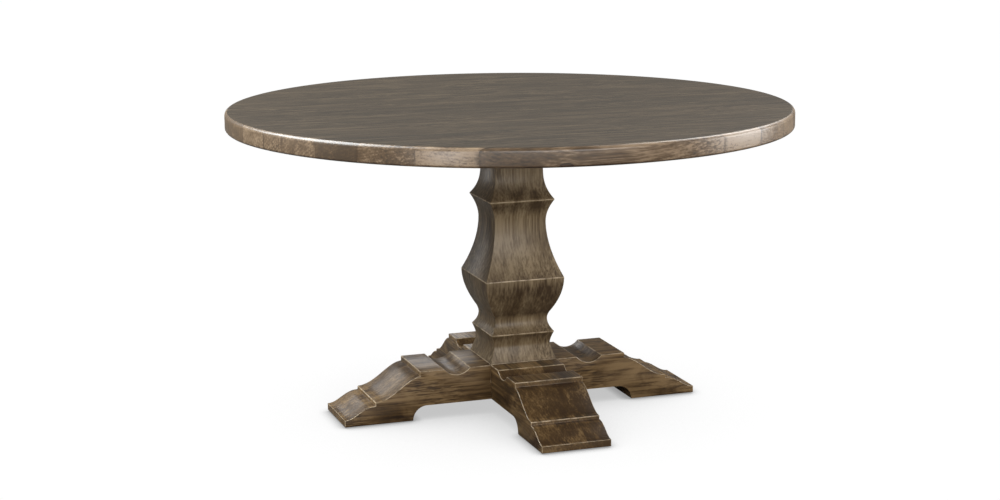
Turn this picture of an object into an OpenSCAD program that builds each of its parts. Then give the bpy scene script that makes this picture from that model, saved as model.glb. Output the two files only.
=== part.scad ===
// Round pedestal dining table: a plank top on a four-sided vase-shaped column,
// which stands on a cross of two half-lapped laminated beams.
// The origin is on the floor under the column's axis, +Z is up, sizes are in millimetres.
// The top's planks and the x beam run along X.

/* [Table] */
// Height of the top's upper face above the floor
table_h = 744; // [720:1:770]
// Diameter of the top
top_d = 1372; // [1300:2:1500]
// Thickness of the top
top_t = 44.5; // [38:0.5:50]
// Roundover along the top's upper edge
top_round = 10; // [6:1:14]
// Roundover along the top's lower edge
bottom_round = 6; // [3:1:8]

/* [Underframe] */
// Thickness of the mounting plate and the battens
frame_t = 26; // [24:1:30]
// Side of the square mounting plate
plate_w = 360; // [320:10:420]
// Length of each batten
batten_l = 760; // [700:10:800]
// Width of each batten
batten_w = 60; // [50:5:80]
// Distance of each batten from the middle
batten_x = 330; // [280:10:360]

/* [Column] */
// Half width of the column's foot
foot_s = 84.5; // [83:0.5:85]
// Half width at the lower ridge
low_ridge_s = 80.4; // [78:0.2:82]
// Half width at the neck above the lower ridge
neck_s = 66.9; // [64:0.1:70]
// Half width at the widest edge
belly_s = 100; // [94:1:106]
// Half width at the waist under the upper ridge
waist_s = 65.2; // [62:0.2:68]
// Half width at the upper ridge
high_ridge_s = 82.6; // [78:0.2:86]
// Half width of the shaft above the upper ridge
shaft_s = 60.5; // [58:0.5:63]
// Half width of the head under the mounting plate
head_s = 75; // [72:1:80]
// Half width of the hollow inside the column
hollow_s = 32; // [28:1:34]

/* [Base] */
// Length of each beam of the cross
beam_l = 904; // [860:2:960]
// Width of each beam
beam_w = 170; // [170:1:176]
// Height of the cross where the column stands
beam_h = 122.5; // [120:0.5:128]
// Height of the arch between the feet
arch_h = 37.3; // [34:0.5:40]
// Height of the end of each foot
toe_h = 19.5; // [16:0.5:22]
// Length of the pad under each foot
pad_l = 169; // [150:1:180]
// Thickness of the glides
glide_t = 2.5; // [2:0.5:4]
// Diameter of the glides
glide_d = 26; // [20:1:32]

/* [Hidden] */
$fn = 48;
curve_steps = 8;
beam_boards = 3;
board_w = beam_w / beam_boards;
lap_z = (arch_h + beam_h) / 2;
top_z = table_h - top_t;
head_z = top_z - frame_t;
pad_x = beam_l / 2 - pad_l;

// Widths of the top's planks, from the front edge to the back edge, before the disc is cut
plank_widths = [62, 71, 91, 91, 98, 68, 105, 94, 94, 88, 94, 82, 98, 80, 82, 74];
width_sum = plank_start(len(plank_widths));

// The column's outline, as heights above the floor
throat_z = 163;
low_ridge_z = 192.5;
neck_z = 224;
bulb_z = 241;
bulb_s = 71.5;
belly_z = 330;
waist_z = 465;
high_ridge_z = 521;
shaft_z = 600;
flare_z = 640;
throat_s = 72;

// The outline of a foot, as distances from the column's axis
cove_in = 138;
cove_out = 203;
cove_depth = 15.5;
step_x = 264;
step_drop = 12;
ledge_x = 376;
ledge_top = 56.5;
ledge_bottom = 48;

rod_r = 6;
rod_bore_r = 6.5;
rod_low_z = 41;
rod_top_z = top_z - 1;
washer_r = 15;
washer_t = 3;
nut_w = 18;
nut_t = 10;
rod_recess_r = 20;
low_recess = 20;
top_recess = 16;

dowel_r = 6;
dowel_x = 58;
dowel_up = 35;
dowel_down = 30;
dowel_play = 0.05;

screw_r = 2.5;
screw_head_r = 5;
screw_head_l = 3;
screw_play = 0.1;
lap_screw_l = 70;
head_screw_l = 70;
head_screw_x = 52;
top_screw_l = 50;
nail_r = 1.5;
nail_l = 14;

plate_screws_at = [for (x = [-1:1], y = [-1:1]) if (x != 0 || y != 0) [x, y] * (plate_w / 2 - 30)];
batten_screws_at = [for (s = [-1, 1], k = [-2:2]) [s * batten_x, k * (batten_l / 2 - 40) / 2]];
head_screws_at = [for (k = [0:3]) head_screw_x * [cos(90 * k), sin(90 * k)]];
lap_screws_at = [for (x = [-1, 1], y = [-1, 1]) [x, y] * dowel_x];
dowels_at = [for (k = [0:3]) dowel_x * [cos(90 * k), sin(90 * k)]];
glides_at = [for (k = [0:3], s = [-1, 1]) turn([beam_l / 2 - 32, s * board_w], 90 * k)];

wood = "#6b5f52";
dark_wood = "#5a4f44";
hidden_wood = "#b89a70";
steel = "#a8abad";
nylon = "#e6e2d8";

function plank_name(number) = str("top_plank_", number < 10 ? "0" : "", number);

function turn(p, a) = [p[0] * cos(a) - p[1] * sin(a), p[0] * sin(a) + p[1] * cos(a)];

// Sum of the widths of the first n planks
function plank_start(n) = n == 0 ? 0 : plank_widths[n - 1] + plank_start(n - 1);

function reversed(list) = [for (i = [len(list) - 1:-1:0]) list[i]];

// A curve that leaves [s0, z0] upright and reaches [s1, z1], as a power of the height
function sweep_out(s0, z0, s1, z1, power) =
    [for (i = [0:curve_steps]) let (t = i / curve_steps)
        [s0 + (s1 - s0) * pow(t, power), z0 + (z1 - z0) * t]];

// A quarter of a circle about [x, z], from angle a to angle b
function arc(x, z, r, a, b, steps) =
    [for (i = [0:steps]) let (t = a + (b - a) * i / steps) [x + r * cos(t), z + r * sin(t)]];

// An S-curve from [x0, z0] down to [x1, z1]; lean under 1 puts its steep part nearer the start
function ogee(x0, z0, x1, z1, lean) =
    [for (i = [0:2 * curve_steps]) let (t = i / (2 * curve_steps))
        [x0 + (x1 - x0) * t, z0 + (z1 - z0) * (1 - cos(180 * pow(t, lean))) / 2]];

// Half widths and heights of the column, from the cross up to the mounting plate
column_outline = concat(
    reversed(sweep_out(throat_s, throat_z, foot_s, beam_h, 1.3)),
    sweep_out(throat_s, throat_z, low_ridge_s, low_ridge_z, 1.6),
    reversed(sweep_out(neck_s, neck_z, low_ridge_s, low_ridge_z, 2)),
    sweep_out(neck_s, neck_z, bulb_s, bulb_z, 2),
    reversed(sweep_out(belly_s, belly_z, bulb_s, bulb_z, 1.96)),
    reversed(sweep_out(waist_s, waist_z, belly_s, belly_z, 1.85)),
    sweep_out(waist_s, waist_z, high_ridge_s, high_ridge_z, 2),
    reversed(sweep_out(shaft_s, shaft_z, high_ridge_s, high_ridge_z, 2.8)),
    sweep_out(shaft_s, flare_z, head_s, head_z, 2)
);

// The cove in the top of each foot is an arc through its two edges and its lowest point
cove_half = (cove_out - cove_in) / 2;
cove_r = (cove_half * cove_half + cove_depth * cove_depth) / (2 * cove_depth);
cove_angle = asin(cove_half / cove_r);

// The outline of one foot from the axis out along its top, round the toe and back under the arch
foot_outline = concat(
    arc((cove_in + cove_out) / 2, beam_h - cove_depth + cove_r, cove_r,
        270 - cove_angle, 270 + cove_angle, curve_steps),
    [[step_x, beam_h]],
    ogee(step_x, beam_h - step_drop, ledge_x, ledge_top, 0.9),
    ogee(ledge_x, ledge_bottom, beam_l / 2 - 2, toe_h, 1.15),
    [[beam_l / 2, toe_h], [beam_l / 2, glide_t]],
    arc(pad_x - (arch_h - glide_t), glide_t, arch_h - glide_t, 0, 90, curve_steps)
);
beam_outline = concat(
    foot_outline,
    reversed([for (p = foot_outline) [-p[0], p[1]]])
);

module outline_along_x(points, y0, y1) {
    translate([0, y1, 0])
        rotate([90, 0, 0])
            linear_extrude(height = y1 - y0)
                polygon(points);
}

module at(points, z) {
    for (p = points)
        translate([p[0], p[1], z])
            children();
}

// A countersunk wood screw with its head's face at z = 0 and its shank going up
module screw(length, play = 0) {
    cylinder(r1 = screw_head_r + play, r2 = screw_r + play, h = screw_head_l);
    translate([0, 0, screw_head_l])
        cylinder(r = screw_r + play, h = length - screw_head_l - screw_r);
    translate([0, 0, length - screw_r])
        cylinder(r1 = screw_r + play, r2 = 0.5 + play, h = screw_r + play);
}

module top_disc() {
    r = top_d / 2;
    rotate_extrude($fn = 180)
        polygon(concat(
            [[0, table_h]],
            reversed(arc(r - top_round, table_h - top_round, top_round, 0, 90, 5)),
            reversed(arc(r - bottom_round, top_z + bottom_round, bottom_round, -90, 0, 4)),
            [[0, top_z]]
        ));
}

module top_plank(number) {
    y0 = -width_sum / 2 + plank_start(number - 1);
    color(number % 2 == 0 ? wood : dark_wood)
        difference() {
            intersection() {
                top_disc();
                translate([-top_d, y0, top_z - 1])
                    cube([2 * top_d, plank_widths[number - 1], top_t + 2]);
            }
            at(concat(plate_screws_at, batten_screws_at), head_z)
                screw(top_screw_l, screw_play);
        }
}

module batten(side) {
    bevel = frame_t * 0.6;
    color(hidden_wood)
        difference() {
            translate([side * batten_x - batten_w / 2, 0, 0])
                rotate([90, 0, 90])
                    linear_extrude(height = batten_w)
                        polygon([
                            [-batten_l / 2 + bevel, head_z], [batten_l / 2 - bevel, head_z],
                            [batten_l / 2, head_z + bevel], [batten_l / 2, top_z],
                            [-batten_l / 2, top_z], [-batten_l / 2, head_z + bevel]
                        ]);
            at(batten_screws_at, head_z)
                screw(top_screw_l, screw_play);
        }
}

module batten_left() {
    batten(-1);
}

module batten_right() {
    batten(1);
}

module mounting_plate() {
    color(hidden_wood)
        difference() {
            translate([-plate_w / 2, -plate_w / 2, head_z])
                cube([plate_w, plate_w, frame_t]);
            translate([0, 0, head_z - 1])
                cylinder(r = rod_bore_r, h = frame_t + 2);
            translate([0, 0, top_z - top_recess])
                cylinder(r = rod_recess_r, h = top_recess + 1);
            at(plate_screws_at, head_z)
                screw(top_screw_l, screw_play);
            at(head_screws_at, top_z)
                mirror([0, 0, 1])
                    screw(head_screw_l, screw_play);
        }
}

module batten_screws() {
    color(steel)
        at(batten_screws_at, head_z)
            screw(top_screw_l);
}

module plate_screws() {
    color(steel)
        at(plate_screws_at, head_z)
            screw(top_screw_l);
}

module head_screws() {
    color(steel)
        at(head_screws_at, top_z)
            mirror([0, 0, 1])
                screw(head_screw_l);
}

// One mitred side of the column, turned about the axis from the side that faces +X
module column_side(angle) {
    color(wood)
        rotate([0, 0, angle])
            difference() {
                intersection() {
                    outline_along_x(
                        concat([[hollow_s, beam_h]], column_outline, [[hollow_s, head_z]]),
                        -belly_s - 1, belly_s + 1
                    );
                    linear_extrude(height = head_z + 1)
                        polygon([[0, 0], [belly_s + 1, -belly_s - 1], [belly_s + 1, belly_s + 1]]);
                }
                translate([dowel_x, 0, beam_h - dowel_down])
                    cylinder(r = dowel_r + dowel_play, h = dowel_down + dowel_up);
                translate([head_screw_x, 0, top_z])
                    mirror([0, 0, 1])
                        screw(head_screw_l, screw_play);
            }
}

module column_right() {
    column_side(0);
}

module column_back() {
    column_side(90);
}

module column_left() {
    column_side(180);
}

module column_front() {
    column_side(270);
}

// A glue block that closes the hollow and centres the tie rod
module glue_block(z, height) {
    color(hidden_wood)
        difference() {
            translate([-hollow_s, -hollow_s, z])
                cube([2 * hollow_s, 2 * hollow_s, height]);
            translate([0, 0, z - 1])
                cylinder(r = rod_bore_r, h = height + 2);
        }
}

module top_block() {
    glue_block(head_z - 90, 90);
}

module bottom_block() {
    glue_block(beam_h, 90);
}

// Everything that is drilled into the cross
module cross_bores() {
    cylinder(r = rod_bore_r, h = beam_h + 1);
    cylinder(r = rod_recess_r, h = arch_h + low_recess);
    at(dowels_at, beam_h - dowel_down)
        cylinder(r = dowel_r + dowel_play, h = dowel_down + 1);
    at(lap_screws_at, arch_h)
        screw(lap_screw_l, screw_play);
    at(glides_at, glide_t)
        cylinder(r = nail_r, h = nail_l);
}

// The boards are counted from -1 to 1 across the beam
module x_beam_board(place) {
    y0 = (place - 0.5) * board_w;
    color(place == 0 ? dark_wood : wood)
        difference() {
            outline_along_x(beam_outline, y0, y0 + board_w);
            translate([-beam_w / 2, y0 - 1, lap_z])
                cube([beam_w, board_w + 2, beam_h]);
            cross_bores();
        }
}

module x_beam_front_board() {
    x_beam_board(-1);
}

module x_beam_middle_board() {
    x_beam_board(0);
}

module x_beam_back_board() {
    x_beam_board(1);
}

module y_beam_board(place) {
    x0 = (place - 0.5) * board_w;
    color(place == 0 ? dark_wood : wood)
        difference() {
            rotate([0, 0, 90])
                outline_along_x(beam_outline, -x0 - board_w, -x0);
            translate([x0 - 1, -beam_w / 2, lap_z - beam_h])
                cube([board_w + 2, beam_w, beam_h]);
            cross_bores();
        }
}

module y_beam_left_board() {
    y_beam_board(-1);
}

module y_beam_middle_board() {
    y_beam_board(0);
}

module y_beam_right_board() {
    y_beam_board(1);
}

module column_dowels() {
    color(hidden_wood)
        at(dowels_at, beam_h - dowel_down)
            cylinder(r = dowel_r, h = dowel_down + dowel_up);
}

module lap_screws() {
    color(steel)
        at(lap_screws_at, arch_h)
            screw(lap_screw_l);
}

module tie_rod() {
    chamfer = 1;
    color(steel) {
        translate([0, 0, rod_low_z])
            cylinder(r1 = rod_r - chamfer, r2 = rod_r, h = chamfer);
        translate([0, 0, rod_low_z + chamfer])
            cylinder(r = rod_r, h = rod_top_z - rod_low_z - 2 * chamfer);
        translate([0, 0, rod_top_z - chamfer])
            cylinder(r1 = rod_r, r2 = rod_r - chamfer, h = chamfer);
    }
}

module washer(z) {
    color(steel)
        translate([0, 0, z])
            difference() {
                cylinder(r = washer_r, h = washer_t);
                translate([0, 0, -1])
                    cylinder(r = rod_bore_r, h = washer_t + 2);
            }
}

module nut(z) {
    color(steel)
        translate([0, 0, z])
            difference() {
                cylinder(d = nut_w / cos(30), h = nut_t, $fn = 6);
                translate([0, 0, -1])
                    cylinder(r = rod_r + 0.05, h = nut_t + 2);
            }
}

module top_washer() {
    washer(top_z - top_recess);
}

module top_nut() {
    nut(top_z - top_recess + washer_t);
}

module bottom_washer() {
    washer(arch_h + low_recess - washer_t);
}

module bottom_nut() {
    nut(arch_h + low_recess - washer_t - nut_t);
}

module floor_glides() {
    rim = 0.6;
    color(nylon)
        at(glides_at, 0) {
            cylinder(r1 = glide_d / 2 - rim, r2 = glide_d / 2, h = rim);
            translate([0, 0, rim])
                cylinder(r = glide_d / 2, h = glide_t - rim);
            translate([0, 0, glide_t])
                cylinder(r = nail_r - 0.05, h = nail_l - 1);
        }
}

for (number = [1:len(plank_widths)])
    top_plank(number);
batten_left();
batten_right();
mounting_plate();
batten_screws();
plate_screws();
head_screws();
column_right();
column_back();
column_left();
column_front();
top_block();
bottom_block();
x_beam_front_board();
x_beam_middle_board();
x_beam_back_board();
y_beam_left_board();
y_beam_middle_board();
y_beam_right_board();
column_dowels();
lap_screws();
tie_rod();
top_washer();
top_nut();
bottom_washer();
bottom_nut();
floor_glides();
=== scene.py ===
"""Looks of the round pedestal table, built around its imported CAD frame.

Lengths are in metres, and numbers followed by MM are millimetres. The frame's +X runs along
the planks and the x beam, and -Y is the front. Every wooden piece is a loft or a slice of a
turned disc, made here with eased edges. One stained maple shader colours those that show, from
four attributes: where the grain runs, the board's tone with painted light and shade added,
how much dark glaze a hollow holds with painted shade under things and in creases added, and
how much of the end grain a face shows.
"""
import math

import bmesh
import bpy
from mathutils import Matrix, Vector, geometry


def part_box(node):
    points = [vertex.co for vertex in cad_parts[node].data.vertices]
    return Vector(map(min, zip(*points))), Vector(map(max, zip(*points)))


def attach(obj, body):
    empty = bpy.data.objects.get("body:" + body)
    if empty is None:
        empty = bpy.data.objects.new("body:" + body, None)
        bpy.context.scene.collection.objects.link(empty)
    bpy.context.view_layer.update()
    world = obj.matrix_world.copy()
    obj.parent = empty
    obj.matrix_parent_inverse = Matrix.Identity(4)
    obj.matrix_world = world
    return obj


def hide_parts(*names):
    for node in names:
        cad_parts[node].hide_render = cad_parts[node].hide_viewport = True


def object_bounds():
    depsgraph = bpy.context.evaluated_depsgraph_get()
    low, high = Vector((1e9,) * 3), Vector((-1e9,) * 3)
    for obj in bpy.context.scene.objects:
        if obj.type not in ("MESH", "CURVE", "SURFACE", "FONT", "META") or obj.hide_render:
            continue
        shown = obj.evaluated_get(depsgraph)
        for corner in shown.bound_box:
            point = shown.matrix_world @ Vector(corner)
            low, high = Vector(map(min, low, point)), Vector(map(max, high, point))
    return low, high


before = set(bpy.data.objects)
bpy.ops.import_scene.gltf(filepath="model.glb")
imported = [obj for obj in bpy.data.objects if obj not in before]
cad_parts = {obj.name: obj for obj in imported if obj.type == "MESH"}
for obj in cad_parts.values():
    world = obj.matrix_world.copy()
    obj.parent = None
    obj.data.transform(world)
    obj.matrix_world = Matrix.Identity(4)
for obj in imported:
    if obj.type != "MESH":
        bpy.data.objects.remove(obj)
cad_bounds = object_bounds()
scene = bpy.context.scene

MM = 0.001
BODY = "root"

# How far off an outline's own place a point may be and still count as on it
CLOSE = 0.1 * MM

# ---------------------------------------------------------------- places from the CAD frame

TABLE_H = cad_bounds[1].z
TOP_R = (cad_bounds[1].y - cad_bounds[0].y) / 2
TOP_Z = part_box("top_plank_08")[0].z
PLANKS = sorted(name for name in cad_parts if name.startswith("top_plank_"))
BEAM_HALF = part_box("x_beam_middle_board")[1].x
BEAM_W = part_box("x_beam_back_board")[1].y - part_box("x_beam_front_board")[0].y
BOARD_W = BEAM_W / 3
BEAM_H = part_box("column_front")[0].z
PAD_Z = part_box("x_beam_middle_board")[0].z
HEAD_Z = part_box("column_front")[1].z
HOLLOW_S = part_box("top_block")[1].x
RECESS_R = 20 * MM
RECESS_DEPTH = 20 * MM
ARCH_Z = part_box("bottom_washer")[1].z - RECESS_DEPTH
LAP_Z = (ARCH_Z + BEAM_H) / 2

# ---------------------------------------------------------------- camera, light and floor

CAMERA_TURN = math.radians(-20.69)
CAMERA_DISTANCE = 5.091
CAMERA_SIDE = 0.167
CAMERA_HEIGHT = 1.417
CAMERA_PITCH = math.radians(11.45)
CAMERA_ROLL = math.radians(-0.05)
CAMERA_LENS = 76.1
CAMERA_SHIFT = -0.08


def make_camera():
    """Stands CAMERA_TURN round from the front, a little above the top, and looks down at it."""
    data = bpy.data.cameras.new("camera")
    data.sensor_width = 36
    data.lens = CAMERA_LENS
    data.shift_x = CAMERA_SHIFT
    data.clip_end = 200
    camera = bpy.data.objects.new("camera", data)
    scene.collection.objects.link(camera)
    turn = Matrix.Rotation(CAMERA_TURN, 4, "Z")
    place = Matrix.Translation((CAMERA_SIDE, -CAMERA_DISTANCE, CAMERA_HEIGHT))
    tilt = Matrix.Rotation(math.pi / 2 - CAMERA_PITCH, 4, "X")
    roll = Matrix.Rotation(CAMERA_ROLL, 4, "Z")
    camera.matrix_world = turn @ place @ tilt @ roll
    scene.camera = camera


# The seen floor glows evenly, and less in the painted shadow near the feet; SHADE_REACH and
# CONTACT_REACH are how far the painted shade and the painted contact shadow reach
FLOOR_GLOW = 1.01
FLOOR_GLOW_NEAR = 0.54
FLOOR_BOUNCE = 0.35
SHADE_REACH = 0.6
CONTACT_REACH = 0.03
SKY_LIGHT = 0.17
WHITE = (1, 1, 1)
COOL = (0.92, 0.97, 1)
WARM = (1, 0.92, 0.82)


def make_sheet(name, outline):
    """A turned sheet on the stage, from an outline of radii and heights."""
    segments = 48
    points = [p for ring in turned(outline, segments) for p in ring]
    faces = []
    for ring in range(len(outline) - 1):
        for k in range(segments):
            j = (k + 1) % segments
            inner, outer = ring * segments, (ring + 1) * segments
            faces.append((inner + k, outer + k, outer + j, inner + j))
    faces.append(tuple(range(segments)))
    mesh = bpy.data.meshes.new(name)
    mesh.from_pydata(points, [], faces)
    sheet = bpy.data.objects.new(name, mesh)
    scene.collection.objects.link(sheet)
    s = Shader(name)
    mesh.materials.append(s.material)
    return sheet, s


def make_floor():
    """The floor that is seen, which curves up far away and has a painted shadow in its glow only
    close to the feet, and under it the one that lights the table from below and lies in the top's
    shadow."""
    flat, cove, wall = 40, 6, 30
    outline = [(0.01, 0), (flat, 0)]
    outline += [
        (flat + cove * math.sin(a), cove * (1 - math.cos(a)))
        for a in (math.radians(15 * k) for k in range(1, 7))
    ]
    seen, s = make_sheet("floor", outline + [(flat + cove, wall)])
    shade = s.node("AmbientOcclusion", {"Distance": SHADE_REACH}, samples=8)
    contact = s.node("AmbientOcclusion", {"Distance": CONTACT_REACH}, samples=8)
    # Painted shadow: the glow drops near the feet, broadly and in a darker contact line
    painted_shade_glow = s.remap(shade.outputs["AO"], 0.1, 0.99, FLOOR_GLOW_NEAR, FLOOR_GLOW)
    painted_contact_shadow = s.remap(contact.outputs["AO"], 0.4, 0.95, 0.6, 1)
    s.surface(
        Base_Color=(0, 0, 0, 1),
        Roughness=1.0,
        Specular_IOR_Level=0.0,
        Emission_Color=(1, 1, 1, 1),
        Emission_Strength=s.maths("MULTIPLY", painted_shade_glow, painted_contact_shadow),
    )
    seen.visible_diffuse = False
    seen.visible_glossy = False
    felt, s = make_sheet("floor_bounce", [(0.01, -1 * MM), (1.6, -1 * MM)])
    s.surface(Base_Color=[FLOOR_BOUNCE] * 3 + [1], Roughness=1.0, Specular_IOR_Level=0.0)
    felt.visible_camera = False
    felt.visible_shadow = False


def make_world():
    """A dim, warm, even glow, so that the polished top mirrors nothing bright from behind."""
    world = bpy.data.worlds.new("studio")
    world.use_nodes = True
    background = world.node_tree.nodes["Background"]
    background.inputs["Color"].default_value = (*WARM, 1)
    background.inputs["Strength"].default_value = SKY_LIGHT
    scene.world = world
    scene.view_settings.view_transform = "Standard"


def make_light(name, azimuth, elevation, distance, size, power, target=(0, 0, 0.4), colour=WHITE):
    """A soft box that faces the target; azimuth is counted from the camera's own."""
    turn = CAMERA_TURN + math.radians(azimuth)
    lift = math.radians(elevation)
    back = Vector((
        math.sin(turn) * math.cos(lift),
        -math.cos(turn) * math.cos(lift),
        math.sin(lift),
    ))
    data = bpy.data.lights.new(name, "AREA")
    data.shape = "RECTANGLE"
    data.size, data.size_y = size
    data.energy = power
    data.color = colour
    light = bpy.data.objects.new(name, data)
    light.location = Vector(target) + back * distance
    light.rotation_mode = "QUATERNION"
    light.rotation_quaternion = (-back).to_track_quat("-Z", "Y")
    light.visible_camera = False
    scene.collection.objects.link(light)


# ---------------------------------------------------------------- shader helpers


def srgb(code):
    """The linear colour of a #rrggbb code."""
    parts = [int(code[i:i + 2], 16) / 255 for i in (1, 3, 5)]
    return [c / 12.92 if c <= 0.04045 else ((c + 0.055) / 1.055) ** 2.4 for c in parts] + [1]


class Shader:
    """A material under construction; a socket value is a number, a colour or another socket."""

    def __init__(self, name):
        self.material = bpy.data.materials.new(name)
        self.material.use_nodes = True
        self.tree = self.material.node_tree
        self.out = self.tree.nodes["Principled BSDF"]

    def node(self, kind, sockets=(), **settings):
        made = self.tree.nodes.new("ShaderNode" + kind)
        for key, value in settings.items():
            setattr(made, key, value)
        for key, value in dict(sockets).items():
            self.set(made.inputs[key], value)
        return made

    def set(self, socket, value):
        if isinstance(value, bpy.types.NodeSocket):
            self.tree.links.new(value, socket)
        else:
            socket.default_value = value

    def surface(self, **sockets):
        for key, value in sockets.items():
            self.set(self.out.inputs[key.replace("_", " ")], value)

    def attribute(self, name):
        return self.node("Attribute", attribute_name=name)

    def maths(self, operation, a, b, clamp=False):
        made = self.node("Math", operation=operation, use_clamp=clamp)
        self.set(made.inputs[0], a)
        self.set(made.inputs[1], b)
        return made.outputs[0]

    def stretch(self, vector, scale):
        made = self.node("Mapping", {"Scale": scale})
        self.set(made.inputs["Vector"], vector)
        return made.outputs["Vector"]

    def noise(self, vector, scale, detail=3.0, roughness=0.55, distortion=0.0):
        """scale counts the features in a metre, on each of the vector's axes."""
        made = self.node("TexNoise", {
            "Scale": 1.0, "Detail": detail, "Roughness": roughness, "Distortion": distortion,
            "Vector": self.stretch(vector, scale),
        })
        return made.outputs["Fac"]

    def remap(self, value, low, high, to_low=0.0, to_high=1.0, clamp=True):
        made = self.node("MapRange", {
            "Value": value, "From Min": low, "From Max": high, "To Min": to_low, "To Max": to_high,
        }, clamp=clamp)
        return made.outputs["Result"]

    def weighted(self, terms):
        """The sum of socket times weight."""
        total = 0.0
        for value, weight in terms:
            total = self.maths("ADD", self.maths("MULTIPLY", value, weight), total)
        return total

    def mix(self, factor, a, b):
        made = self.node("Mix", data_type="RGBA")
        self.set(made.inputs[0], factor)
        self.set(made.inputs[6], a)
        self.set(made.inputs[7], b)
        return made.outputs[2]


# ---------------------------------------------------------------- materials


# The stain on the wood that took it most, on most of the wood and on the wood that took it least
BASE_STAIN = ("#2d1f0f", "#584226", "#806745")
COLUMN_STAIN = ("#2b2012", "#5b4a33", "#87755a")
# The flat of the top has a darker, greyer copy of the rim's stain, partly painted shade and a
# painted grey reflection
FLAT_STAIN_AND_SHADE = ("#241e15", "#3a3023", "#5a4c3a")
RIM_STAIN = ("#31251a", "#59452f", "#957f66")
# The colour of the dark glaze, which also paints the shade, and of the knot
GLAZE_AND_SHADE = srgb("#281606")
# The paler colour along the marked edges
PALE_EDGE = srgb("#bda98c")


def stained_maple(name, stain, contrast, pale_edges=0.0, coat=0.35, sheen=0.22, patches=0.7, knot=None):
    """Maple under a grey-brown stain, a dark glaze with painted shade in it and a satin lacquer.
    contrast is how strongly the figure took the stain, and patches how uneven it is over a hand's
    width; the pale edge amount mixes a paler colour, in patches, into the faces marked along an
    edge; coat and sheen are how much lacquer there is and how rough it is; knot is the centre of a
    small dark one, in the first plank's own grain."""
    s = Shader(name)
    grain = s.attribute("grain").outputs["Vector"]
    tone_and_painted_light = s.attribute("tone_and_painted_light").outputs["Fac"]
    glaze_and_shade = s.attribute("glaze_and_shade").outputs["Fac"]
    end = s.attribute("end").outputs["Fac"]
    bands = s.noise(grain, (1.2, 30, 30), detail=2.0)
    streaks = s.noise(grain, (3, 170, 170), roughness=0.65)
    lines = s.noise(grain, (7, 400, 400), detail=1.0)
    flecks = s.noise(grain, (8, 80, 80), detail=2.0, roughness=0.6)
    blotch = s.noise(grain, (7, 18, 18), detail=4.0, roughness=0.6, distortion=0.8)
    combs = s.noise(grain, (34, 250, 250), detail=2.0, distortion=0.5)
    where = s.remap(s.noise(grain, (6, 11, 11), detail=1.0), 0.48, 0.62)
    rings = s.node("TexWave", {
        "Vector": s.stretch(grain, (0.12, 1, 1)), "Scale": 46.0, "Distortion": 9.0,
        "Detail": 3.0, "Detail Scale": 0.35, "Detail Roughness": 0.6,
    }, wave_type="RINGS", rings_direction="X").outputs["Fac"]
    pattern = s.weighted([
        (bands, 0.5), (flecks, 0.5), (streaks, 0.8), (blotch, patches), (rings, 0.11), (lines, 0.5),
        (s.maths("MULTIPLY", s.maths("SUBTRACT", combs, 0.5), where), 1.6),
    ])
    middle, reach = 1.2 + 0.5 * patches, 0.42 / contrast
    light = s.remap(pattern, middle - reach, middle + reach, clamp=False)
    # The tone attribute lightens or darkens the board: its own tone with painted light and shade
    light = s.maths("ADD", light, s.maths("MULTIPLY", tone_and_painted_light, 0.3))
    ramp = s.node("ValToRGB", {"Fac": light})
    deep, body, pale = [srgb(code) for code in stain]
    ramp.color_ramp.elements[0].color = deep
    ramp.color_ramp.elements[1].color = pale
    ramp.color_ramp.elements.new(0.5).color = body
    colour = ramp.outputs["Color"]
    thin = s.maths("ADD", s.maths("MULTIPLY", streaks, 0.3), s.maths("MULTIPLY", blotch, 0.7))
    # Glaze in the hollows and painted shade under things and in creases both darken towards this
    # colour
    pooled_and_shaded = s.maths("MULTIPLY", glaze_and_shade, s.remap(thin, 0.41, 0.61, 1.2, 0.3), clamp=True)
    colour = s.mix(s.maths("MULTIPLY", pooled_and_shaded, 0.85), colour, GLAZE_AND_SHADE)
    colour = s.mix(s.maths("MULTIPLY", end, 0.2), colour, pale)
    if knot:
        size = (1 / (17 * MM), 0, 1 / (9 * MM))
        place = s.node("Mapping", {
            "Vector": grain, "Scale": size, "Location": [-c * k for c, k in zip(knot, size)],
        })
        away = s.node("VectorMath", {0: place.outputs["Vector"]}, operation="LENGTH")
        inside = s.remap(away.outputs["Value"], 1.0, 0.9)
        hollow = s.remap(away.outputs["Value"], 0.85, 0.4, 0.95, 0.55)
        colour = s.mix(s.maths("MULTIPLY", inside, hollow), colour, GLAZE_AND_SHADE)
    # Faces marked along an edge take a paler colour in patches
    if pale_edges:
        paler = s.remap(s.noise(grain, (60, 60, 60), detail=4.0), 0.38, 0.58, pale_edges * 0.2, pale_edges)
        colour = s.mix(paler, colour, PALE_EDGE)
    bump = s.node("Bump", {
        "Strength": 0.3, "Distance": 0.2 * MM,
        "Height": s.weighted([(streaks, 1.0), (combs, 0.5)]),
    })
    s.surface(
        Base_Color=colour,
        Roughness=s.remap(streaks, 0.3, 0.7, 0.5, 0.38),
        Normal=bump.outputs["Normal"],
        Coat_Weight=coat,
        Coat_Roughness=sheen,
        Specular_IOR_Level=0.35,
    )
    return s.material


def raw_wood():
    """The unfinished hardwood of the pieces under the top and inside the column."""
    s = Shader("raw_wood")
    grain = s.attribute("grain").outputs["Vector"]
    streaks = s.noise(grain, (2.5, 120, 120), roughness=0.6)
    bands = s.noise(grain, (1.5, 30, 30), detail=2.0)
    mixed = s.remap(s.weighted([(bands, 0.5), (streaks, 0.5)]), 0.35, 0.65)
    colour = s.mix(mixed, srgb("#8d7350"), srgb("#b99c74"))
    end = s.maths("MULTIPLY", s.attribute("end").outputs["Fac"], 0.3)
    colour = s.mix(end, colour, srgb("#6b5436"))
    s.surface(Base_Color=colour, Roughness=s.remap(streaks, 0.3, 0.7, 0.75, 0.6))
    return s.material


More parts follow.
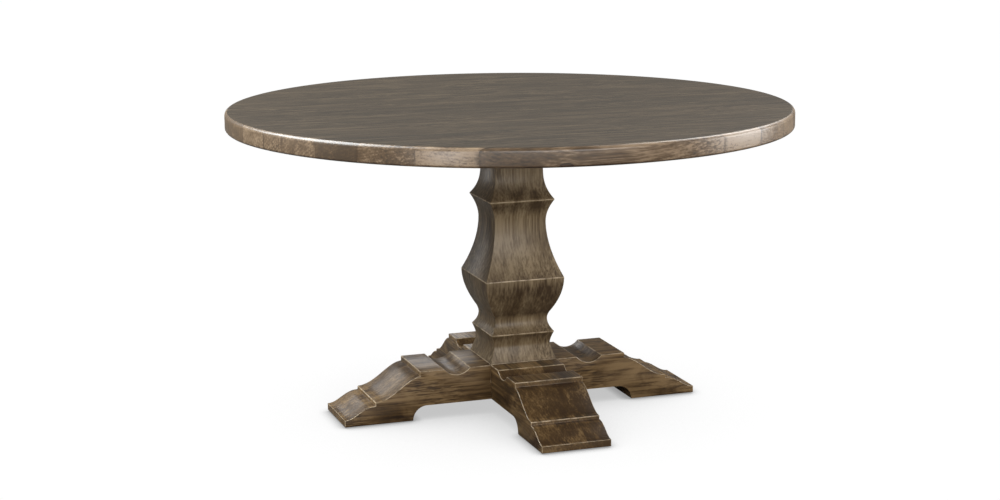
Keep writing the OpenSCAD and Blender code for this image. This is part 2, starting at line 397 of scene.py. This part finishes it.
def zinc_steel():
    s = Shader("zinc_steel")
    place = s.node("TexCoord").outputs["Object"]
    cloud = s.noise(place, (90, 90, 90))
    s.surface(
        Base_Color=s.mix(cloud, srgb("#9fa3a6"), srgb("#c9cbc8")),
        Roughness=s.remap(cloud, 0.3, 0.7, 0.25, 0.42),
        Metallic=1.0,
    )
    return s.material


def nylon():
    s = Shader("nylon")
    place = s.node("TexCoord").outputs["Object"]
    cloud = s.noise(place, (160, 160, 160))
    s.surface(
        Base_Color=s.mix(cloud, srgb("#d8d3c6"), srgb("#eae6dc")),
        Roughness=s.remap(cloud, 0.3, 0.7, 0.5, 0.62),
    )
    return s.material


# ---------------------------------------------------------------- outlines


def sweep_out(start, end, power, steps=12):
    """A curve that leaves start upright and reaches end, as a power of the height."""
    (s0, z0), (s1, z1) = start, end
    return [
        (s0 + (s1 - s0) * (i / steps) ** power, z0 + (z1 - z0) * i / steps)
        for i in range(steps + 1)
    ]


def arc(centre, radius, start, end, steps=10):
    """A stretch of a circle, from one angle to another in degrees."""
    angles = [math.radians(start + (end - start) * i / steps) for i in range(steps + 1)]
    return [
        (centre[0] + radius * math.cos(a), centre[1] + radius * math.sin(a)) for a in angles
    ]


def ogee(start, end, lean, steps=20):
    """An S-curve down from start to end; lean under 1 puts its steep part nearer the start."""
    (x0, z0), (x1, z1) = start, end
    return [
        (
            x0 + (x1 - x0) * i / steps,
            z0 + (z1 - z0) * (1 - math.cos(math.pi * (i / steps) ** lean)) / 2,
        )
        for i in range(steps + 1)
    ]


def without_repeats(points, least=0.02 * MM):
    """The closed outline without the points that lie less than the least distance apart."""
    kept = [points[0]]
    for p in points[1:]:
        if math.dist(p, kept[-1]) > least:
            kept.append(p)
    if math.dist(kept[0], kept[-1]) < least:
        kept.pop()
    return kept


def divided(points, longest):
    """The closed outline with its long straight sides divided."""
    out = []
    for i, p in enumerate(points):
        q = points[(i + 1) % len(points)]
        parts = max(1, math.ceil(math.dist(p, q) / longest))
        for k in range(parts):
            t = k / parts
            out.append((p[0] + (q[0] - p[0]) * t, p[1] + (q[1] - p[1]) * t))
    return out


def eased(points, size, stays=lambda p: False, steps=4, least_turn=20):
    """Rounds the sharp corners of a closed outline that runs anticlockwise.

    Returns the points, and for each side of the outline True where it is part of a rounded
    corner that stands out."""
    out, marks = [], []
    count = len(points)
    for i, p in enumerate(points):
        before, after = Vector(points[i - 1]), Vector(points[(i + 1) % count])
        here = Vector(p)
        into, away = here - before, after - here
        turn = math.degrees(into.angle_signed(away)) * -1
        if abs(turn) < least_turn or stays(p):
            out.append(p)
            marks.append(False)
            continue
        reach = min(size, into.length * 0.45, away.length * 0.45)
        start, end = here - into.normalized() * reach, here + away.normalized() * reach
        for k in range(steps + 1):
            t = k / steps
            q = start * (1 - t) ** 2 + here * (2 * t * (1 - t)) + end * t * t
            out.append((q.x, q.y))
            marks.append(turn > 0 and k < steps)
    return out, marks


def inset(points, distance):
    """The closed anticlockwise outline moved inwards, with mitred corners."""
    out = []
    count = len(points)
    for i, p in enumerate(points):
        into = (Vector(p) - Vector(points[i - 1])).normalized()
        away = (Vector(points[(i + 1) % count]) - Vector(p)).normalized()
        n0, n1 = Vector((-into.y, into.x)), Vector((-away.y, away.x))
        both = n0 + n1
        shift = both * (2 * distance / max(both.length_squared, 0.5))
        out.append((p[0] + shift.x, p[1] + shift.y))
    return out


def mirrored(points):
    """The outline on the other side of the axis, in the same turning sense."""
    return [(-x, z) for x, z in reversed(points)]


# The column's outline: half widths and heights
FOOT = (84.5 * MM, BEAM_H)
THROAT = (72 * MM, 163 * MM)
LOW_RIDGE = (80.4 * MM, 192.5 * MM)
NECK = (66.9 * MM, 224 * MM)
BULB = (71.5 * MM, 241 * MM)
BELLY = (100 * MM, 330 * MM)
WAIST = (65.2 * MM, 465 * MM)
HIGH_RIDGE = (82.6 * MM, 521 * MM)
SHAFT = (60.5 * MM, 600 * MM)
FLARE = (60.5 * MM, 640 * MM)
HEAD = (75 * MM, HEAD_Z)


def column_outline():
    """One side of the column, seen along its face: the hollow's edge, then up the outside."""
    face = (
        sweep_out(THROAT, FOOT, 1.3)[::-1]
        + sweep_out(THROAT, LOW_RIDGE, 1.6)
        + sweep_out(NECK, LOW_RIDGE, 2)[::-1]
        + sweep_out(NECK, BULB, 2, 5)
        + sweep_out(BELLY, BULB, 1.96, 16)[::-1]
        + sweep_out(WAIST, BELLY, 1.85, 18)[::-1]
        + sweep_out(WAIST, HIGH_RIDGE, 2)
        + sweep_out(SHAFT, HIGH_RIDGE, 2.8, 14)[::-1]
        + sweep_out(FLARE, HEAD, 2, 6)
    )
    return without_repeats([(HOLLOW_S, BEAM_H)] + face + [(HOLLOW_S, HEAD_Z)])


# A foot's outline: distances from the column's axis and heights
COVE_IN = 138 * MM
COVE_OUT = 203 * MM
COVE_DEPTH = 15.5 * MM
STEP = (264 * MM, BEAM_H - 12 * MM)
LEDGE_TOP = (376 * MM, 56.5 * MM)
LEDGE = (376 * MM, 48 * MM)
TOE = (BEAM_HALF - 2 * MM, 19.5 * MM)
PAD_X = BEAM_HALF - 169 * MM
JOINT_X = BEAM_W / 2


def beam_outline(notch_above):
    """A whole beam seen from its side, with the half lap's notch in its upper or lower half."""
    half = (COVE_OUT - COVE_IN) / 2
    radius = (half * half + COVE_DEPTH * COVE_DEPTH) / (2 * COVE_DEPTH)
    sweep = math.degrees(math.asin(half / radius))
    cove_centre = ((COVE_IN + COVE_OUT) / 2, BEAM_H - COVE_DEPTH + radius)
    rise = ARCH_Z - PAD_Z
    under = [(JOINT_X, ARCH_Z)] + arc((PAD_X - rise, PAD_Z), rise, 90, 0) + [(BEAM_HALF, PAD_Z)]
    over = (
        [(BEAM_HALF, TOE[1])]
        + ogee(LEDGE, TOE, 1.15, 14)[::-1]
        + ogee(STEP, LEDGE_TOP, 0.9)[::-1]
        + [(STEP[0], BEAM_H)]
        + arc(cove_centre, radius, 270 + sweep, 270 - sweep, 12)
        + [(JOINT_X, BEAM_H)]
    )
    if notch_above:
        over.append((JOINT_X, LAP_Z))
    else:
        under.insert(0, (JOINT_X, LAP_Z))
    half_outline = under + over
    return without_repeats(half_outline + mirrored(half_outline))


# ---------------------------------------------------------------- pieces


def turned(outline, segments=24):
    """Rings of points round the Z axis, one for each radius and height of the outline."""
    turns = [2 * math.pi * k / segments for k in range(segments)]
    return [[Vector((r * math.cos(a), r * math.sin(a), z)) for a in turns] for r, z in outline]


class Piece:
    """Points and faces of one closed piece; faces marked along an edge take a paler colour."""

    def __init__(self):
        self.points, self.faces, self.pale_edge = [], [], []

    def loft(self, rails, pale_edge=lambda rail, side: False):
        """Joins closed rings of points into a skin and closes both ends."""
        count = len(rails[0])
        base = len(self.points)
        for rail in rails:
            self.points.extend(rail)
        for r in range(len(rails) - 1):
            low, high = base + r * count, base + (r + 1) * count
            for i in range(count):
                j = (i + 1) % count
                self.faces.append((low + i, low + j, high + j, high + i))
                self.pale_edge.append(pale_edge(r, i))
        last = base + (len(rails) - 1) * count
        self.faces.append(tuple(range(base, base + count)))
        self.faces.append(tuple(range(last, last + count)))
        self.pale_edge += [False, False]
        return self

    def mesh(self, name):
        mesh = bpy.data.meshes.new(name)
        mesh.from_pydata([tuple(p) for p in self.points], [], self.faces)
        for polygon, pale_edge in zip(mesh.polygons, self.pale_edge):
            polygon.material_index = int(pale_edge)
        bm = bmesh.new()
        bm.from_mesh(mesh)
        bmesh.ops.recalc_face_normals(bm, faces=bm.faces)
        bm.to_mesh(mesh)
        bm.free()
        return mesh


# The grain's own axis and the two across it
AXES = {"X": (0, 1, 2), "Y": (1, 0, 2), "Z": (2, 0, 1)}
SHARP_ANGLE = math.radians(28)
# How far apart in the grain's pattern two pieces with successive numbers start
GRAIN_STEPS = (0.731, 0.417, 0.239)


def write_attribute(mesh, name, kind, domain, values):
    """Stores one value for each point or corner of the mesh."""
    data = mesh.attributes.new(name, kind, domain).data
    data.foreach_set("vector" if kind == "FLOAT_VECTOR" else "value", values)


def nothing(point, normal):
    """The tone and the glaze, without painted light or shade, of plain wood."""
    return 0.0


def sloping(low, high, axis, half):
    """A tone that goes from one value to another between -half and half on an axis."""
    return lambda point, normal: low + (high - low) * (0.5 + point[axis] / half / 2)


def finish_piece(name, mesh, node, materials, along, number, tone_and_painted_light=nothing, glaze_and_shade=nothing):
    """Gives a mesh its materials, grain, tone with painted light and shade, and glaze with painted
    shade, and puts it in the CAD node's place. number says where in the grain's pattern it starts,
    so that no two pieces look the same."""
    for material in materials:
        mesh.materials.append(material)
    order = AXES[along]
    start = [step * number for step in GRAIN_STEPS]
    places, ends, tones_and_painted_light, glaze_and_shade_values = [], [], [], []
    for vertex in mesh.vertices:
        places += [vertex.co[order[k]] + start[k] for k in range(3)]
    for polygon in mesh.polygons:
        polygon.use_smooth = True
        for index in polygon.vertices:
            ends.append(abs(polygon.normal[order[0]]))
            point = mesh.vertices[index].co
            tones_and_painted_light.append(tone_and_painted_light(point, polygon.normal))
            glaze_and_shade_values.append(glaze_and_shade(point, polygon.normal))
    write_attribute(mesh, "grain", "FLOAT_VECTOR", "POINT", places)
    write_attribute(mesh, "tone_and_painted_light", "FLOAT", "CORNER", tones_and_painted_light)
    write_attribute(mesh, "end", "FLOAT", "CORNER", ends)
    write_attribute(mesh, "glaze_and_shade", "FLOAT", "CORNER", glaze_and_shade_values)
    mesh.set_sharp_from_angle(angle=SHARP_ANGLE)
    piece = bpy.data.objects.new(name, mesh)
    scene.collection.objects.link(piece)
    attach(piece, BODY)
    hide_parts(node)


def bump_at(value, centre, below, above):
    """1 at the centre, fading to 0 at the given distances below and above it."""
    reach = above if value > centre else below
    t = min(1, abs(value - centre) / reach)
    return (1 - t) ** 2


# ---------------------------------------------------------------- the top

TOP_ROUND = 10 * MM
BOTTOM_ROUND = 6 * MM
SEAM = 1.2 * MM
TOP_SEGMENTS = 480
# A face that looks up less than this has the rim's stain, and not the flat's darker, greyer one
# with painted shade
LOOKS_UP = 0.9
# How light each plank is at its left and its right end, from the front edge back: the plank's own
# tone, with painted reflections added, most on the second plank
PLANK_TONES_AND_LIGHT = [
    (-0.8, 1.0), (1.3, 1.9), (0.0, 0.9), (-1.3, 1.4), (-0.1, 0.8), (0.2, 0.8), (0.4, -0.2),
    (-0.6, -0.3), (-0.8, 0.4), (0.5, -0.2), (-0.4, 0.5), (0.2, -0.5), (0.5, 0.1), (-0.3, -0.3),
    (0.4, 0.4), (-0.1, -0.1),
]


def top_disc():
    """The whole top as a turned solid, from which the planks are cut."""
    flat = TOP_R - TOP_ROUND
    ring = (
        [(flat - 0.5 * MM, TABLE_H)]
        + arc((flat, TABLE_H - TOP_ROUND), TOP_ROUND, 90, 0, 12)
        + arc((TOP_R - BOTTOM_ROUND, TOP_Z + BOTTOM_ROUND), BOTTOM_ROUND, 0, -90, 8)
        + [(TOP_R - BOTTOM_ROUND - 0.5 * MM, TOP_Z)]
    )
    bm = bmesh.new()
    rings = [[bm.verts.new(p) for p in points] for points in turned(ring, TOP_SEGMENTS)]
    for upper, lower in zip(rings, rings[1:]):
        for k in range(TOP_SEGMENTS):
            j = (k + 1) % TOP_SEGMENTS
            bm.faces.new((upper[k], lower[k], lower[j], upper[j]))
    bm.faces.new(rings[0])
    bm.faces.new(rings[-1][::-1])
    bmesh.ops.recalc_face_normals(bm, faces=bm.faces)
    return bm


def plank_tone_and_light(number, length):
    """The rim shows the plank's tone and painted reflection in full, and the flat of the top
    barely.
    """
    left, right = PLANK_TONES_AND_LIGHT[number]

    def tone_and_painted_light(point, normal):
        share = min(1, max(0, 0.5 + point.x / length))
        own = left + (right - left) * share
        return own * (1 - 0.7 * max(0, normal.z) ** 8)

    return tone_and_painted_light


def plank_glaze_and_shade(low, high):
    """Dark glaze along the joints, and painted shade on the rounding under the rim."""

    def glaze_and_shade(point, normal):
        to_joint = min(point.y - low, high - point.y)
        joint = abs(point.y) < TOP_R - 5 * MM and to_joint < SEAM + CLOSE
        seam = 0.9 * (1 - 0.7 * max(0, normal.z)) if joint else 0
        # Faces that look down are darkened as painted shade
        return max(seam, min(1, -1.6 * normal.z))

    return glaze_and_shade


def make_planks(materials):
    """Cuts the planks from the disc, with a strip along each joint for the seam's glaze."""
    whole = top_disc()
    for number, node in enumerate(PLANKS):
        low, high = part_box(node)
        bm = whole.copy()
        for y, way in ((low.y, -1), (high.y, 1)):
            if abs(y) > TOP_R - 1 * MM:
                continue
            cut = bmesh.ops.bisect_plane(
                bm, geom=bm.verts[:] + bm.edges[:] + bm.faces[:],
                plane_co=(0, y, 0), plane_no=(0, way, 0), clear_outer=True,
            )
            edges = [e for e in cut["geom_cut"] if isinstance(e, bmesh.types.BMEdge)]
            bmesh.ops.edgeloop_fill(bm, edges=edges)
        for y in (low.y + SEAM, high.y - SEAM):
            bmesh.ops.bisect_plane(
                bm, geom=bm.verts[:] + bm.edges[:] + bm.faces[:],
                plane_co=(0, y, 0), plane_no=(0, 1, 0),
            )
        bmesh.ops.recalc_face_normals(bm, faces=bm.faces)
        name = "plank_%02d" % (number + 1)
        mesh = bpy.data.meshes.new(name)
        for face in bm.faces:
            face.material_index = int(face.normal.z < LOOKS_UP)
        bm.to_mesh(mesh)
        bm.free()
        finish_piece(
            name, mesh, node, materials, "X", number,
            plank_tone_and_light(number, high.x - low.x), plank_glaze_and_shade(low.y, high.y),
        )
    whole.free()


# ---------------------------------------------------------------- the column

ARRIS = 1.2 * MM
RIDGE_EASE = 1.5 * MM


def column_glaze_and_shade(glaze_and_shade_weight):
    """Painted shade with some glaze: darker at the head under the top, under and over the ridges,
    on the belly's underside, over the belly and the bulb, and where the column stands on the cross.
    """

    def glaze_and_shade(point, normal):
        z = point.z
        return min(1, glaze_and_shade_weight * (
            1.3 * bump_at(z, HIGH_RIDGE[1] + 3 * MM, 3 * MM, 60 * MM)
            + 1.6 * bump_at(z, HIGH_RIDGE[1] - 4 * MM, 42 * MM, 3 * MM)
            + 1.2 * bump_at(z, BELLY[1] - 30 * MM, 75 * MM, 45 * MM)
            + 0.45 * bump_at(z, BELLY[1] + 1 * MM, 1 * MM, 45 * MM)
            + 0.22 * bump_at(z, BELLY[1] + 90 * MM, 60 * MM, 60 * MM)
            + 0.8 * bump_at(z, BULB[1] - 1 * MM, 18 * MM, 60 * MM)
            + 0.8 * bump_at(z, LOW_RIDGE[1] - 4 * MM, 34 * MM, 3 * MM)
            + 0.4 * bump_at(z, LOW_RIDGE[1] + 3 * MM, 3 * MM, 22 * MM)
            + 0.8 * bump_at(z, BEAM_H, 1 * MM, 8 * MM)
        ) + 0.5 * bump_at(z, HEAD_Z, 16 * MM, 1 * MM))

    return glaze_and_shade


def make_column_side(node, angle, number, tone_and_painted_light, glaze_and_shade_weight, materials):
    """A mitred side, turned to its angle, with its sharp edges taken off along the mitres."""
    outline, marks = eased(column_outline(), RIDGE_EASE, lambda p: p[0] <= HOLLOW_S)
    turn = Matrix.Rotation(math.radians(angle), 3, "Z")
    back = ARRIS * (1 - math.sqrt(0.5))

    def rail(side, at_arris):
        ring = []
        for s, z in outline:
            if s <= HOLLOW_S + CLOSE:
                place = (s, side * s, z)
            elif at_arris:
                place = (s - back, side * (s - back), z)
            else:
                place = (s, side * (s - ARRIS), z)
            ring.append(turn @ Vector(place))
        return ring

    rails = [rail(-1, True), rail(-1, False), rail(1, False), rail(1, True)]
    mesh = Piece().loft(rails, lambda r, i: marks[i]).mesh(node)
    finish_piece(
        "side_of_" + node, mesh, node, materials, "Z", number,
        sloping(*tone_and_painted_light, 2, HEAD_Z), column_glaze_and_shade(glaze_and_shade_weight),
    )


# ---------------------------------------------------------------- the cross

SIDE_EASE = 1.3 * MM
PROFILE_EASE = 1.8 * MM
LONGEST_FACE = 9 * MM


def beam_glaze_and_shade(along):
    """Glaze and painted shade: darker in the coves, at the foot of each step and against the
    column, on the sloping faces, and on the sides low down by the floor and, on the y beam, at its
    toes."""
    axis = AXES[along][0]
    toe_shade = 0.0 if along == "X" else 1.0

    def glaze_and_shade(point, normal):
        x = abs(point[axis])
        # The sides take painted shade low down by the floor, a painted contact line at the floor,
        # and painted shade at the y beam's toes and against the column
        if normal.z < 0.15:
            return min(1, (
                0.4 * bump_at(point.z, 0, 1 * MM, 80 * MM)
                + 0.6 * bump_at(point.z, 0, 1 * MM, 6 * MM)
                + toe_shade * bump_at(x, BEAM_HALF, 200 * MM, 1 * MM)
                + 0.25 * bump_at(x, JOINT_X, 1 * MM, 60 * MM)
            ))
        # The sloping faces take painted shade, and the hollows take glaze with painted shade
        slope = 0.75 if 0.15 < normal.z < 0.97 else 0
        return min(1, (
            slope + 0.8 * bump_at(x, JOINT_X, 1 * MM, 16 * MM)
            + 0.75 * bump_at(x, COVE_IN + 27 * MM, 25 * MM, 25 * MM)
            + 0.8 * bump_at(x, STEP[0] + 1 * MM, 1 * MM, 16 * MM)
            + 0.8 * bump_at(x, LEDGE[0] + 1 * MM, 1 * MM, 14 * MM)
        ))

    return glaze_and_shade


def make_beam_board(node, along, place, number, tone_and_painted_light, materials):
    """place counts the boards of a beam from -1 to 1; the outer boards have an eased face."""
    base = divided(beam_outline(along == "X"), LONGEST_FACE)
    inner = (place - 0.5) * BOARD_W if place >= 0 else (place + 0.5) * BOARD_W
    outer = (place + 0.5) * BOARD_W if place >= 0 else (place - 0.5) * BOARD_W
    steps = [(inner, 0), (outer, 0)]
    if place:
        steps = [(inner, 0)]
        for k in range(4):
            a = math.radians(30 * k)
            steps.append((
                outer - place * SIDE_EASE * (1 - math.sin(a)),
                SIDE_EASE * (1 - math.cos(a)),
            ))
    rails = []
    for across, depth in steps:
        ring, marks = eased(
            inset(base, depth), PROFILE_EASE - 0.5 * depth,
            lambda p: abs(p[0]) <= JOINT_X + 2 * MM,
        )
        if along == "X":
            rails.append([(x, across, z) for x, z in ring])
        else:
            rails.append([(across, x, z) for x, z in ring])
    upper = [not on_underside(p) for p in ring]

    # The faces along the upper edges take the paler colour
    def pale_edge(rail, side):
        return (rail > 0 or marks[side]) and upper[side]

    mesh = Piece().loft(rails, pale_edge).mesh(node)
    if node == "x_beam_middle_board":
        mesh = bored(mesh)
    finish_piece(
        "laminate_" + node, mesh, node, materials, along, number,
        sloping(*tone_and_painted_light, AXES[along][0], BEAM_HALF), beam_glaze_and_shade(along),
    )


def on_underside(p):
    """True for an outline point of the arch and the pads, and not of the profile above."""
    x = abs(p[0])
    if x > BEAM_HALF - CLOSE:
        return p[1] < TOE[1] - 4 * MM
    return p[1] <= ARCH_Z + 0.5 * MM and not (x > LEDGE[0] and p[1] > PAD_Z + 3 * MM)


def bored(mesh):
    """The mesh with the recess for the tie rod's nut in its underside."""
    outline = [(RECESS_R, ARCH_Z - 10 * MM), (RECESS_R, ARCH_Z + RECESS_DEPTH)]
    cutter = Piece().loft(turned(outline, 64)).mesh("cutter")
    tool = bpy.data.objects.new("cutter", cutter)
    work = bpy.data.objects.new("work", mesh)
    for o in (tool, work):
        scene.collection.objects.link(o)
    cut = work.modifiers.new("recess", "BOOLEAN")
    cut.object = tool
    cut.operation = "DIFFERENCE"
    cut.solver = "EXACT"
    ready = work.evaluated_get(bpy.context.evaluated_depsgraph_get())
    result = bpy.data.meshes.new_from_object(ready)
    for o in (tool, work):
        bpy.data.objects.remove(o)
    return result


# ---------------------------------------------------------------- the hidden underframe

BLOCK_EASE = 1.5 * MM


def make_block(node, along, number, materials, chamfered=False):
    """A plain wooden block in the CAD node's box, with eased edges."""
    low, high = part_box(node)
    axis = AXES[along][0]
    u0, u1 = low[axis], high[axis]
    slope = (high.z - low.z) * 0.6 if chamfered else 0
    corners = [
        (u0 + slope, low.z), (u1 - slope, low.z), (u1, low.z + slope),
        (u1, high.z), (u0, high.z), (u0, low.z + slope),
    ]
    outline, _ = eased(without_repeats(corners), BLOCK_EASE)
    across = AXES[along][1]
    w0, w1 = low[across], high[across]
    rails = []
    for w, depth in (
        (w0, BLOCK_EASE), (w0 + BLOCK_EASE, 0), (w1 - BLOCK_EASE, 0), (w1, BLOCK_EASE),
    ):
        ring = inset(outline, depth) if depth else outline
        rails.append([(u, w, z) if along == "X" else (w, u, z) for u, z in ring])
    mesh = Piece().loft(rails).mesh(node)
    finish_piece("wood_" + node, mesh, node, materials, along, number)


SCREW_R = 2.5 * MM
DOWEL_R = 6 * MM
SCREW_HEAD_R = 5 * MM
# How far a screw is turned from the one before it, and how far its head stands out
SCREW_TURN = 0.7
PROUD = 0.4 * MM
# The recess in a screw's head: its arms' reach and half width, and its depth
CROSS = (3.2 * MM, 0.8 * MM, 1.2 * MM)


def screw(length, proud):
    """Points and faces of a screw with a cross recess in its head, which stands proud of z = 0."""
    rings = turned([
        (0.5 * MM, length), (SCREW_R, length - SCREW_R), (SCREW_R, 3 * MM),
        (SCREW_HEAD_R, 0.5 * MM), (SCREW_HEAD_R, 0.2 * MM - proud),
        (SCREW_HEAD_R - 0.3 * MM, -proud),
    ])
    count = len(rings[0])
    points = [p for ring in rings for p in ring]
    faces = [tuple(range(count))]
    for r in range(len(rings) - 1):
        for i in range(count):
            j = (i + 1) % count
            faces.append((r * count + i, r * count + j, (r + 1) * count + j, (r + 1) * count + i))
    reach, half, depth = CROSS
    corner = [(reach, -half), (reach, half), (half, half)]
    cross = [
        Matrix.Rotation(math.radians(90 * k), 3, "Z") @ Vector((x, y, -proud))
        for k in range(4) for x, y in corner
    ]
    rim = len(points) - count
    points += cross
    for triangle in geometry.tessellate_polygon([rings[-1], cross]):
        faces.append(tuple(rim + k for k in triangle))
    floor = len(points)
    sides = len(cross)
    points += [p + Vector((0, 0, depth)) for p in cross]
    for i in range(sides):
        j = (i + 1) % sides
        faces.append((floor - sides + i, floor - sides + j, floor + j, floor + i))
    faces.append(tuple(range(floor, floor + sides)))
    return points, faces


def make_screws(node, spots, proud, material):
    """Screws at the spots, with their heads' faces on the node's lower side, or on its upper
    side when proud is zero."""
    low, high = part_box(node)
    points, faces = screw(high.z - low.z, proud)
    piece = Piece()
    for number, (x, y) in enumerate(spots):
        turn = Matrix.Rotation(SCREW_TURN * number, 3, "Z")
        base = len(piece.points)
        for p in points:
            q = turn @ p
            z = low.z + q.z if proud else high.z - q.z
            piece.points.append((x + q.x, y + q.y, z))
        piece.faces += [tuple(base + k for k in face) for face in faces]
        piece.pale_edge += [False] * len(faces)
    finish_piece("heads_of_" + node, piece.mesh(node), node, [material], "Z", 50)


def make_dowels(node, materials):
    """Four pegs round the axis, each against a side of the node's box."""
    low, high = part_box(node)
    r, ease = DOWEL_R, 1 * MM
    outline = [(r - ease, low.z), (r, low.z + ease), (r, high.z - ease), (r - ease, high.z)]
    piece = Piece()
    at = high.x - r
    for x, y in ((at, 0), (0, at), (-at, 0), (0, -at)):
        piece.loft([[p + Vector((x, y, 0)) for p in ring] for ring in turned(outline)])
    finish_piece("pegs_of_" + node, piece.mesh(node), node, materials, "Z", 45)


# ---------------------------------------------------------------- build everything

make_camera()
make_floor()
make_world()
make_light("left_box", -88, 47, 3.2, (2.8, 2.1), 212, colour=COOL)
make_light("right_box", 124, 46, 3.2, (1.9, 2.0), 60)
make_light("front_left", -21, 1, 4.6, (1.0, 1.3), 42)
make_light("front_fill", 20, 15, 4.6, (4.4, 1.8), 112)
make_light("front_right", 98, 10, 4.6, (2.6, 2.2), 120)
make_light("left_fill", -82, 9, 4.0, (2.4, 1.6), 8)
make_light("low_back_box", -151, 21, 1.12, (0.33, 0.18), 0.4, (-0.36, 0, 0.08))
make_light("low_back_strip", -174, 15, 1.45, (0.35, 0.2), 0.5, (-0.23, 0, BEAM_H))

KNOT = (-107 * MM, 0, TOP_Z + 2 * MM)
TOP_SET = [
    stained_maple("flat_maple_with_painted_shade", FLAT_STAIN_AND_SHADE, 1.5, coat=1.0),
    stained_maple("rim_maple", RIM_STAIN, 1.2, coat=0.85, sheen=0.3, knot=KNOT),
]
BASE_SET = [
    stained_maple("base_maple", BASE_STAIN, 1.5, patches=1.4),
    stained_maple("pale_edged_maple", BASE_STAIN, 1.5, patches=1.4, pale_edges=0.8),
]
COLUMN_SET = [
    stained_maple("column_maple", COLUMN_STAIN, 1.05, coat=0.1),
    stained_maple("pale_edged_column_maple", COLUMN_STAIN, 1.05, pale_edges=0.8, coat=0.1),
]
RAW_SET = [raw_wood()]

make_planks(TOP_SET)
# Side, its tones as far below the floor as its head is above it and at its head, and how much
# # of the glaze and painted shade it keeps; the tones are painted light and shade, the left side
# # lighter low down and darker at its head, the front the other way round
SIDES = [
    ("right", (0.1, 0.4), 0.9), ("back", (0.2, 0.1), 0.8),
    ("left", (0.9, -0.5), 0.1), ("front", (-0.7, 1.2), 1.2),
]
for index, (side, tone_and_painted_light, glaze_and_shade_weight) in enumerate(SIDES):
    make_column_side("column_" + side, 90 * index, 20 + index, tone_and_painted_light, glaze_and_shade_weight, COLUMN_SET)
# Board, grain, place in the beam, and how light its left or front and its other end are, which is
# partly painted light, as on the x beam's lighter right end
BOARDS = [
    ("x_beam_front_board", "X", -1, (0.15, 1.1)), ("x_beam_middle_board", "X", 0, (-0.3, 0.2)),
    ("x_beam_back_board", "X", 1, (0.1, 0.3)), ("y_beam_left_board", "Y", -1, (0.0, 0.3)),
    ("y_beam_middle_board", "Y", 0, (-0.4, 0.1)), ("y_beam_right_board", "Y", 1, (-1.0, -0.1)),
]
for index, (node, along, place, tone_and_painted_light) in enumerate(BOARDS):
    make_beam_board(node, along, place, 30 + index, tone_and_painted_light, BASE_SET)
make_block("mounting_plate", "X", 40, RAW_SET)
make_block("batten_left", "Y", 41, RAW_SET, chamfered=True)
make_block("batten_right", "Y", 42, RAW_SET, chamfered=True)
make_block("top_block", "X", 43, RAW_SET)
make_block("bottom_block", "X", 44, RAW_SET)
make_dowels("column_dowels", RAW_SET)

METAL = zinc_steel()
# The outermost screw of each set, from the middle of the table
outermost = {
    node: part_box(node)[1] - Vector((SCREW_HEAD_R, SCREW_HEAD_R, 0))
    for node in ("batten_screws", "plate_screws", "head_screws", "lap_screws")
}
across, along = outermost["batten_screws"].x, outermost["batten_screws"].y
spots = [(side * across, along * k / 2) for side in (-1, 1) for k in range(-2, 3)]
make_screws("batten_screws", spots, PROUD, METAL)
at = outermost["plate_screws"].x
spots = [(at * i, at * j) for i in (-1, 0, 1) for j in (-1, 0, 1) if i or j]
make_screws("plate_screws", spots, PROUD, METAL)
at = outermost["head_screws"].x
make_screws("head_screws", [(at, 0), (0, at), (-at, 0), (0, -at)], 0, METAL)
at = outermost["lap_screws"].x
spots = [(at * i, at * j) for i in (-1, 1) for j in (-1, 1)]
make_screws("lap_screws", spots, PROUD, METAL)
KEPT_NODES = {
    "tie_rod": METAL, "top_washer": METAL, "top_nut": METAL,
    "bottom_washer": METAL, "bottom_nut": METAL, "floor_glides": nylon(),
}
for node, material in KEPT_NODES.items():
    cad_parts[node].data.materials.clear()
    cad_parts[node].data.materials.append(material)
